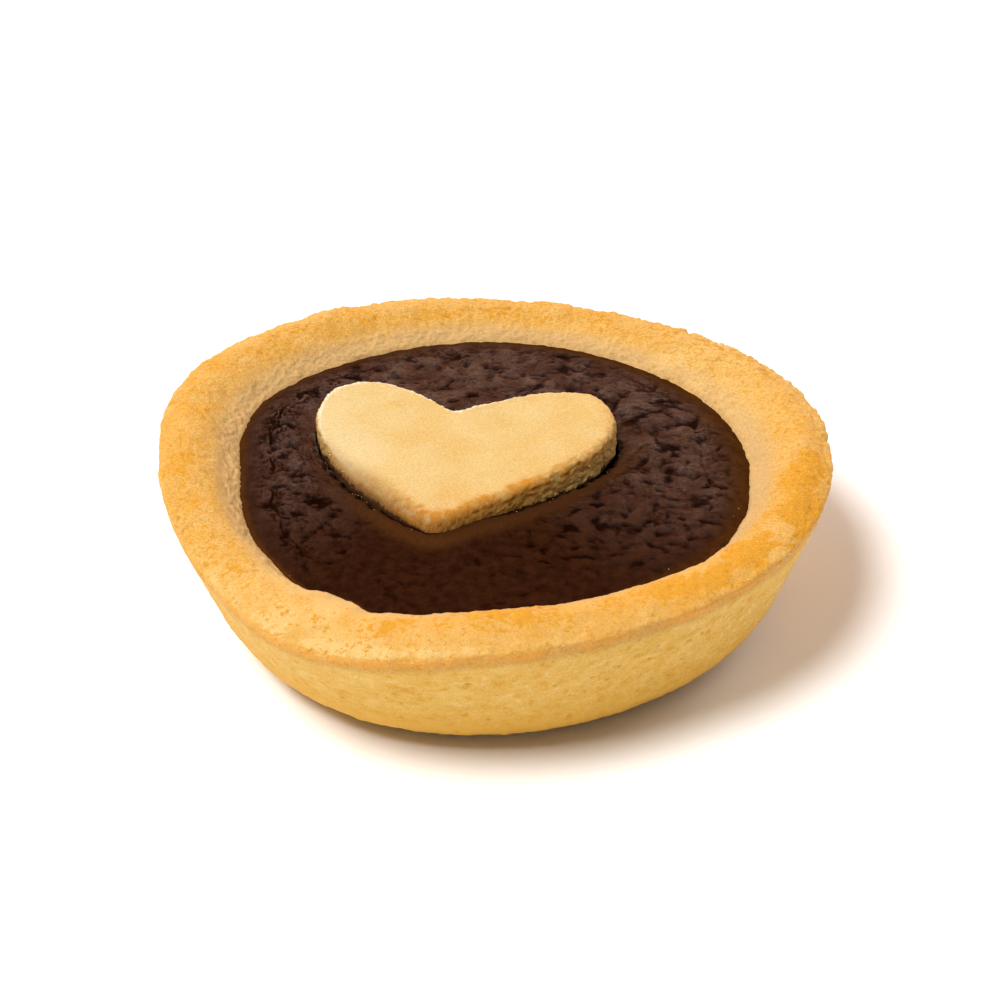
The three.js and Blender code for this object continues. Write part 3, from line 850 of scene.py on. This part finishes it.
# ---- The heart -----------------------------------------------
def make_heart():
    directions, thick = HEART_DIRECTIONS, HEART_THICKNESS
    outline = heart_outline(directions)
    even = np.hypot(*outline.T)
    length = even + 0.16 * fractal(raised(outline), 2.6, 3, salt=191, gain=0.6)
    turn = np.arctan2(outline[:, 1], outline[:, 0]) / TURN % 1
    outline = outline / even[:, None] * length[:, None]
    # The section: how far out from the middle, and how high above the underside.
    edge = around(HEART_EDGE, turn)
    sections = eased_sections(
        [
            corner(0, 0),
            corner(length, 0, ease=1, bend=4, run=3),
            corner(length, thick, ease=edge, bend=12, run=22),
            corner(0, thick, run=66),
        ],
        directions,
    )
    height = sections[..., 1]
    flat = outline[None] * (sections[..., 0] / length)[..., None]
    plain = raised(flat + HEART_PLACE, height - thick + heart_top(flat[..., 0], flat[..., 1]))
    normals = grid_normals(plain)

    side = 1 - smoothstep(0.35, 0.8, np.abs(normals[..., 2]))
    up = smoothstep(0.2, 0.8, normals[..., 2])
    from_edge = (length - sections[..., 0]) * 0.85
    front_left, front_right = around(FRONT_LEFT, turn), around(FRONT_RIGHT, turn)
    # How far down over the rounded edge, which is painted darker, as shade, the lower it is.
    fallen = 0.55 * np.maximum(edge + 1.3 * front_left - from_edge, 0) + 0.84 * (thick - height)
    foot = 0.6 * smoothstep(0, 2.0, fallen) + 0.4 * smoothstep(2.0, 2.9, fallen)

    grit = fractal(plain, 1.5, 3, salt=211, gain=0.65)
    crumb = fractal(plain, 0.6, 2, salt=221, gain=0.7)
    relief = 0.13 * fractal(plain, 6, 2, salt=201) * up
    relief += grit * (0.03 * up + 0.20 * side) + crumb * (0.02 * up + 0.09 * side)
    relief += (0.10 * grit + 0.10 * crumb) * bell(from_edge, 0.3, 1.2) * (1 - 0.5 * side)
    relief -= SIDE_PIT * pits(plain, 1.5, 0.5, salt=241, share=0.45) * side
    # The pressed edge: a crease that runs just below the front right edge, and a crack by the tip.
    crease_at = thick - 1.1 + 0.35 * noise(plain, 3.5, salt=261)
    crease = bell(height, crease_at, 0.22) * (from_edge < 0.8) * front_right * smoothstep(-0.2, 0.2, grit)
    relief -= PRESSED_CREASE * crease
    crack_x, crack_y, crack_long, crack_wide = HEART_CRACK
    wiggle = 0.3 * noise(plain, 1.0, salt=262)
    crack = bell(plain[..., 0], crack_x, crack_long) * bell(plain[..., 1] + wiggle, crack_y, crack_wide) * up
    relief -= HEART_CRACK_DEPTH * crack
    points = plain + normals * relief[..., None]

    # A toasted edge with a broad faint part, and a browner valley that runs to the tip.
    from_rim = np.maximum(from_edge - 0.7 * edge, 0)
    patches = fractal(plain, 3, 3, salt=251)
    rim = 0.75 * np.exp(-from_rim / 0.55) + 0.35 * np.exp(-from_rim / 2.2) * (0.6 + 0.8 * patches)
    rim *= smoothstep(thick - 2.6, thick - 0.8, height) * np.clip(0.8 + 1.1 * grit, 0.2, 1.4)
    valley = bell(points[..., 0], -6.5, 3.0) * smoothstep(6, -12, points[..., 1]) * up
    # Painted highlight: a narrow band just in from the top edge, on the back and left.
    painted_edge_highlight = bell(from_edge, 0.35, 0.26) * (height > thick - 0.5)
    skin_level = FILLING_LEVEL + SHOULDER_RISE + 0.2 - around(MOAT_DEPTH, turn)
    above_skin = height - (skin_level + thick - heart_top(*outline.T))
    attributes = {
        "toast": np.clip(rim * around(EDGE_TOAST, turn) + 0.2 * valley, 0, 1),
        "side": side,
        "pale": around(EDGE_PALE, turn) * bell(from_edge, 0, 7) * up,
        # The front right side: toasted, and painted lighter, as bounced light.
        "baked": front_right * side,
        # Painted shade, darker towards the foot of the side.
        "deep": around(FOOT_SHADE, turn) * foot,
        "shaded": 1 - smoothstep(-0.3, 0.2 + 0.7 * front_left, above_skin + 0.35 * grit + 0.4 * crumb),
        "scorch": crack,
        "painted_edge_highlight": around(PAINTED_EDGE_HIGHLIGHT, turn) * painted_edge_highlight * smoothstep(-0.5, 0.0, noise(plain, 0.45, salt=271)),
    }
    return grid_mesh("heart_shortbread", points, attributes, 2), points


# ---- Crumbs --------------------------------------------------
def make_crumbs(places, sizes):
    """One mesh of small rough crumbs, each sunk a little into the place where it lies."""
    form = bmesh.new()
    bmesh.ops.create_icosphere(form, subdivisions=2, radius=1)
    ball = np.array([v.co for v in form.verts])
    faces = np.array([[v.index for v in f.verts] for f in form.faces])
    form.free()
    draw = np.random.default_rng(CRUMB_SEED)
    vertices = []
    for place, size in zip(places, sizes):
        turn, _ = np.linalg.qr(draw.normal(size=(3, 3)))
        lump = ball * (1 + 0.45 * noise(ball + draw.uniform(0, 50, 3), 0.9))[:, None]
        lump = (lump * draw.uniform(0.6, 1.1, 3)) @ turn
        vertices.append(lump * size + place + (0, 0, 0.25 * size))
    mesh = bpy.data.meshes.new("loose_crumbs")
    shift = np.arange(len(places))[:, None, None] * len(ball)
    mesh.from_pydata((np.concatenate(vertices) * MM).tolist(), [], (faces + shift).reshape(-1, 3).tolist())
    mesh.shade_smooth()
    return put_in_scene("loose_crumbs", mesh)


def bearing_about(points, centre):
    """The bearing of each point about a centre, in degrees."""
    return np.degrees(np.arctan2(points[..., 1] - centre[1], points[..., 0] - centre[0])) % 360


def between(angle, start, end):
    """Whether an angle lies anticlockwise from the start and clockwise from the end."""
    if start < end:
        return (angle > start) & (angle < end)
    return (angle > start) | (angle < end)


def crumb_places(crust, skin, heart):
    """Where crumbs lie, and their sizes: on the rim's ridge, round the heart's edge, in the gap round it and
    along the skin's edge at the case."""
    turn = bearing_about(crust, (0, 0))
    share = turn / 360
    radius = np.hypot(crust[..., 0], crust[..., 1])
    near_ridge = np.abs(radius - around(RIM_RADIUS, share) + 0.5) < 0.9
    ridge = near_ridge & (crust[..., 2] > around(RIM_HEIGHT, share) - 1)
    # Where the heart's side meets its top, and lower down its side.
    bearing = bearing_about(heart, HEART_PLACE)
    level = heart[..., 2] - heart_top(heart[..., 0] - HEART_PLACE[0], heart[..., 1] - HEART_PLACE[1])
    edge = (level > -1.6) & (level < -0.25)
    side = (level > -3.4) & (level < -0.8)
    low_side = side & (level < -1.5)
    # The skin's rings are numbered outwards from the heart.
    skin_bearing = bearing_about(skin, HEART_PLACE)
    ring = np.broadcast_to(np.arange(len(skin))[:, None], skin_bearing.shape)
    near = ring < 4
    margin = ring > len(skin) - 10

    draw = np.random.default_rng(CRUMB_SEED)
    places, sizes = [], []
    for points, where, count, low, high in (
        (crust, ridge & between(turn, 222, 262), 34, 0.08, 0.20),
        (crust, ridge & between(turn, 262, 330), 14, 0.07, 0.18),
        (crust, ridge, 16, 0.06, 0.14),
        (heart, edge & between(bearing, 60, 200), 60, 0.06, 0.16),
        (heart, side & between(bearing, 200, 275), 16, 0.05, 0.10),
        (heart, low_side & between(bearing, 275, 30), 16, 0.05, 0.11),
        (skin, near & between(skin_bearing, 290, 25), 6, 0.04, 0.08),
        (skin, near & between(skin_bearing, 180, 250), 7, 0.04, 0.08),
        (skin, margin & between(skin_bearing, 310, 345), 3, 0.05, 0.10),
        (skin, margin & between(skin_bearing, 225, 245), 2, 0.05, 0.10),
    ):
        chosen = points[where]
        places.extend(chosen[draw.integers(0, len(chosen), count)])
        sizes.extend(low + (high - low) * draw.random(count) ** 2)
    return np.array(places), np.array(sizes)


# ---- The studio ----------------------------------------------
def make_floor():
    half = FLOOR_HALF
    corners = [(-half, -half, 0), (half, -half, 0), (half, half, 0), (-half, half, 0)]
    mesh = bpy.data.meshes.new("floor")
    mesh.from_pydata(corners, [], [(0, 1, 2, 3)])
    floor = put_in_scene("floor", mesh)
    mesh.materials.append(floor_material())


def make_key_light():
    """An even, fairly wide light from far away, high at the front left."""
    data = bpy.data.lights.new("key", "SUN")
    data.angle = math.radians(KEY_WIDTH)
    data.energy = KEY_STRENGTH
    data.color = KEY_COLOUR
    light = put_in_scene("key", data)
    light.rotation_euler = Vector(KEY_TOWARDS).to_track_quat("Z", "Y").to_euler()


def make_sky():
    """White light from both sides towards the back, a faint light from the front, a dark ceiling, and a low
    warm wall behind the tart, which gives the chocolate its sheen."""
    world = bpy.data.worlds.new("studio")
    world.use_nodes = True
    nodes, links = world.node_tree.nodes, world.node_tree.links
    place = nodes.new("ShaderNodeTexCoord").outputs["Generated"]
    split = nodes.new("ShaderNodeSeparateXYZ")
    links.new(place, split.inputs[0])
    x, y, z = split.outputs

    def glow(along, low, high, at_low, at_high):
        """Brightness that eases from one value to another along a coordinate of the sky."""
        ramp = nodes.new("ShaderNodeMapRange")
        ramp.interpolation_type = "SMOOTHSTEP"
        links.new(along, ramp.inputs[0])
        for socket, value in zip(ramp.inputs[1:5], (low, high, at_low, at_high)):
            socket.default_value = value
        return ramp.outputs[0]

    def join(operation, *values):
        made = nodes.new("ShaderNodeMath")
        made.operation = operation
        for value, socket in zip(values, made.inputs):
            links.new(value, socket)
        return made.outputs[0]

    def shine(background, colour, strength):
        background.inputs["Color"].default_value = colour
        links.new(strength, background.inputs["Strength"])
        return background.outputs[0]

    across = join("ABSOLUTE", x)
    sides = join("MULTIPLY", glow(across, 0.3, 0.7, 0.0, 1.0), glow(z, 0.1, 0.5, 0.15, 1.0))
    sides = join("MULTIPLY", sides, glow(y, -0.1, 0.45, 0.0, 3.3))
    sides = join("ADD", sides, glow(y, -0.3, -0.8, 0.0, 0.3))
    wall = join("MULTIPLY", glow(y, 0.4, 0.75, 0.0, 1.75), glow(z, 0.54, 0.8, 1.0, 0.0))
    wall = join("MULTIPLY", wall, glow(across, 0.4, 0.7, 1.0, 0.25))
    both = nodes.new("ShaderNodeAddShader")
    links.new(shine(nodes["Background"], SKY_COLOUR, sides), both.inputs[0])
    links.new(shine(nodes.new("ShaderNodeBackground"), WALL_COLOUR, wall), both.inputs[1])
    links.new(both.outputs[0], nodes["World Output"].inputs["Surface"])
    bpy.context.scene.world = world


def make_camera():
    data = bpy.data.cameras.new("camera")
    data.sensor_width = SENSOR
    data.lens = SENSOR * FOCAL_PIXELS / IMAGE_PIXELS
    data.clip_start, data.clip_end = 0.01, 20
    camera = put_in_scene("camera", data)
    backwards = Vector((0, -math.cos(PITCH), math.sin(PITCH)))
    camera.location = (Vector(CAMERA_TARGET) + backwards * CAMERA_DISTANCE) * MM
    camera.rotation_euler = (math.pi / 2 - PITCH, 0, 0)
    bpy.context.scene.camera = camera


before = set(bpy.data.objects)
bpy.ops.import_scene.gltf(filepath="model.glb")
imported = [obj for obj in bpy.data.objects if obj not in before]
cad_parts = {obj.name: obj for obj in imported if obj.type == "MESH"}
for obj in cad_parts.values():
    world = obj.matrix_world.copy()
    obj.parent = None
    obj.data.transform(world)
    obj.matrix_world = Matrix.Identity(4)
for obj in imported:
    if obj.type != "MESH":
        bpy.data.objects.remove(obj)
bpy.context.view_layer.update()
bpy.context.scene.view_settings.view_transform = "Standard"
make_camera()
make_floor()
make_key_light()
make_sky()
crust, crust_grid = make_crust()
filling, skin_grid = make_filling()
heart, heart_grid = make_heart()
dress(crust, crust_material(), "crust")
dress(filling, chocolate_material(), "filling")
dress(heart, biscuit_material(), "heart_biscuit")
crumbs = make_crumbs(*crumb_places(crust_grid, skin_grid, heart_grid))
dress(crumbs, crumb_material(), None)
